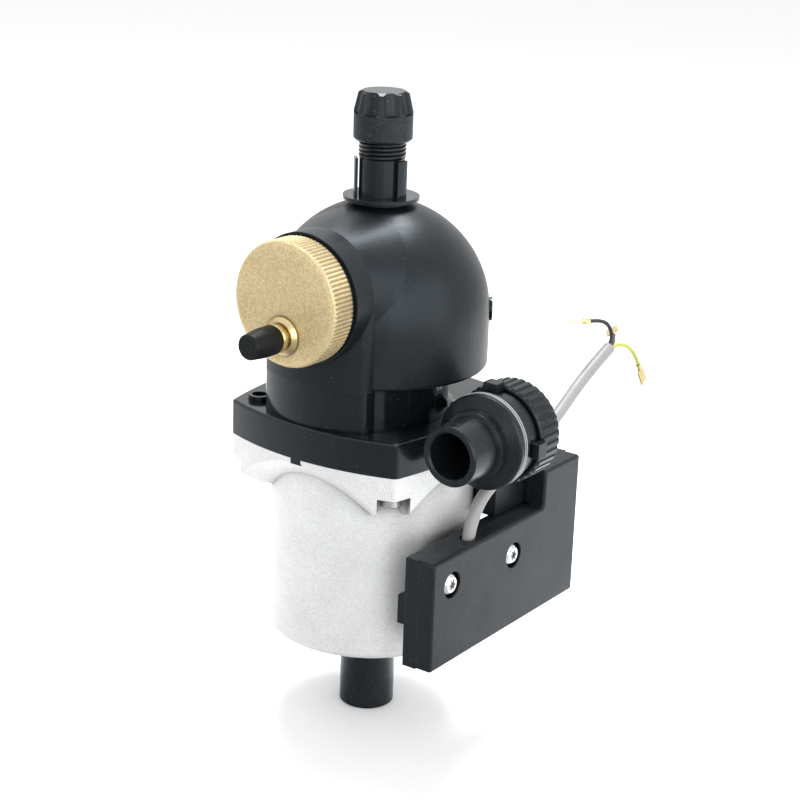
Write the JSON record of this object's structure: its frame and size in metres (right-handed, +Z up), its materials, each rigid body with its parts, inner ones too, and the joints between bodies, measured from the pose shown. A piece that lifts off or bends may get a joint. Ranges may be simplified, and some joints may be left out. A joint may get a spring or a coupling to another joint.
{
  "type": "circulation pump",
  "caption": "Wet-rotor circulation pump with a square-flanged motor, pump housing, air separator dome, brass vent, screw-capped top port, side outlet fitting and control box with a mains cable.",
  "frame": {"origin": "centre of the inlet tube's mouth, the lowest point of the pump", "axes": "+Z up the motor's axis to the blanking cap, -Y toward the brass vent cover and the side outlet's mouth, +X toward the control box"},
  "size_m": [0.1509, 0.22, 0.2933],
  "materials": {
    "cast_silver": "satin cast",
    "tube_black": "gloss",
    "stainless": "satin",
    "housing_black": "gloss",
    "dome_black": "semi-gloss",
    "fitting_black": "semi-gloss",
    "cap_black": "grained",
    "box_black": "satin",
    "turned_brass": "satin",
    "bright_steel": "bright",
    "seal_rubber": "matte",
    "seal_light": "matte",
    "carbon": "fine",
    "magnet": "fine",
    "lamination": "fine",
    "copper": "enamelled",
    "wheel_plastic": "satin",
    "float_plastic": "satin",
    "board_green": "satin",
    "board_part_grey": "satin",
    "lead_plastic": "satin",
    "sheath_grey": "satin",
    "wire_dark": "satin",
    "wire_green": "satin",
    "wire_grey": "satin",
    "tag_metal": "plated"
  },
  "bodies": {
    "pump": {"air_separator_dome": "dome_black", "bearing_plate": "stainless", "board_parts": "board_part_grey", "box_cover": "box_black", "box_screws": "bright_steel", "box_shell": "box_black", "cable_gland": "seal_rubber", "cable_sheath": "sheath_grey", "can_foot_seal": "seal_rubber", "circuit_board": "board_green", "dome_plug": "housing_black", "dome_seal": "seal_rubber", "face_seal": "seal_rubber", "flange_screws": "bright_steel", "housing_gasket": "seal_rubber", "inlet_tube": "tube_black", "lever_bracket": "stainless", "lever_pin": "bright_steel", "lower_bearing": "carbon", "motor_housing": "cast_silver", "motor_leads": "lead_plastic", "outlet_elbow": "fitting_black", "outlet_spigot": "fitting_black", "port_insert": "fitting_black", "port_seal": "seal_rubber", "pump_housing": "housing_black", "rotor_can": "stainless", "spigot_seals": "seal_light", "stator_core": "lamination", "stator_windings": "copper", "union_nut": "fitting_black", "upper_bearing": "carbon", "vent_cover": "turned_brass", "vent_cover_seal": "seal_rubber", "vent_nipple": "turned_brass", "wire_earth": "wire_green", "wire_live": "wire_dark", "wire_neutral": "wire_grey", "wire_terminals": "tag_metal"},
    "rotor": {"rotor_shaft": "stainless", "rotor_magnet": "magnet", "thrust_washer": "carbon", "impeller": "wheel_plastic", "impeller_shroud": "wheel_plastic"},
    "float_arm": {"vent_float": "float_plastic", "float_lever": "float_plastic"},
    "vent_valve": {"valve_pin": "bright_steel", "valve_disc": "seal_rubber"},
    "cap_washer": {"cap_gasket": "seal_rubber"},
    "port_cap": {"blanking_cap": "cap_black"},
    "vent_washer": {"vent_cap_seal": "seal_rubber"},
    "vent_closure": {"vent_cap": "cap_black"},
    "bayonet_ring": {"locking_ring": "fitting_black"}
  },
  "joints": [
    {"name": "rotor_spin", "type": "hinge", "parent": "pump", "child": "rotor", "pos_m": [0, 0, 0.0963], "axis": [0, 0, 1], "continuous": true},
    {"name": "float_swing", "type": "hinge", "parent": "pump", "child": "float_arm", "pos_m": [0, -0.0395, 0.1907], "axis": [1, 0, 0], "range_deg": [0, 12]},
    {"name": "valve_slide", "type": "slide", "parent": "pump", "child": "vent_valve", "axis": [0, 1, 0], "range_m": [-0.0013, 0]},
    {"name": "cap_lift", "type": "slide", "parent": "pump", "child": "cap_washer", "axis": [0, 0, 1], "range_m": [0, 0.00987]},
    {"name": "cap_turn", "type": "hinge", "parent": "cap_washer", "child": "port_cap", "pos_m": [0, 0, 0.2825], "axis": [0, 0, 1], "range_deg": [0, 1960]},
    {"name": "vent_cap_lift", "type": "slide", "parent": "pump", "child": "vent_washer", "axis": [0, -1, 0], "range_m": [0, 0.0065]},
    {"name": "vent_cap_turn", "type": "hinge", "parent": "vent_washer", "child": "vent_closure", "pos_m": [0, -0.08, 0.1967], "axis": [0, -1, 0], "range_deg": [0, 2340]},
    {"name": "locking_ring_turn", "type": "hinge", "parent": "pump", "child": "bayonet_ring", "pos_m": [0.0747, -0.0156, 0.1551], "axis": [0, -1, 0], "range_deg": [0, 40]}
  ],
  "couplings": [
    {"joint": "valve_slide", "follows": "float_swing", "m_per_rad": -0.006},
    {"joint": "cap_turn", "follows": "cap_lift", "rad_per_m": 3463.8},
    {"joint": "vent_cap_turn", "follows": "vent_cap_lift", "rad_per_m": 6283}
  ]
}
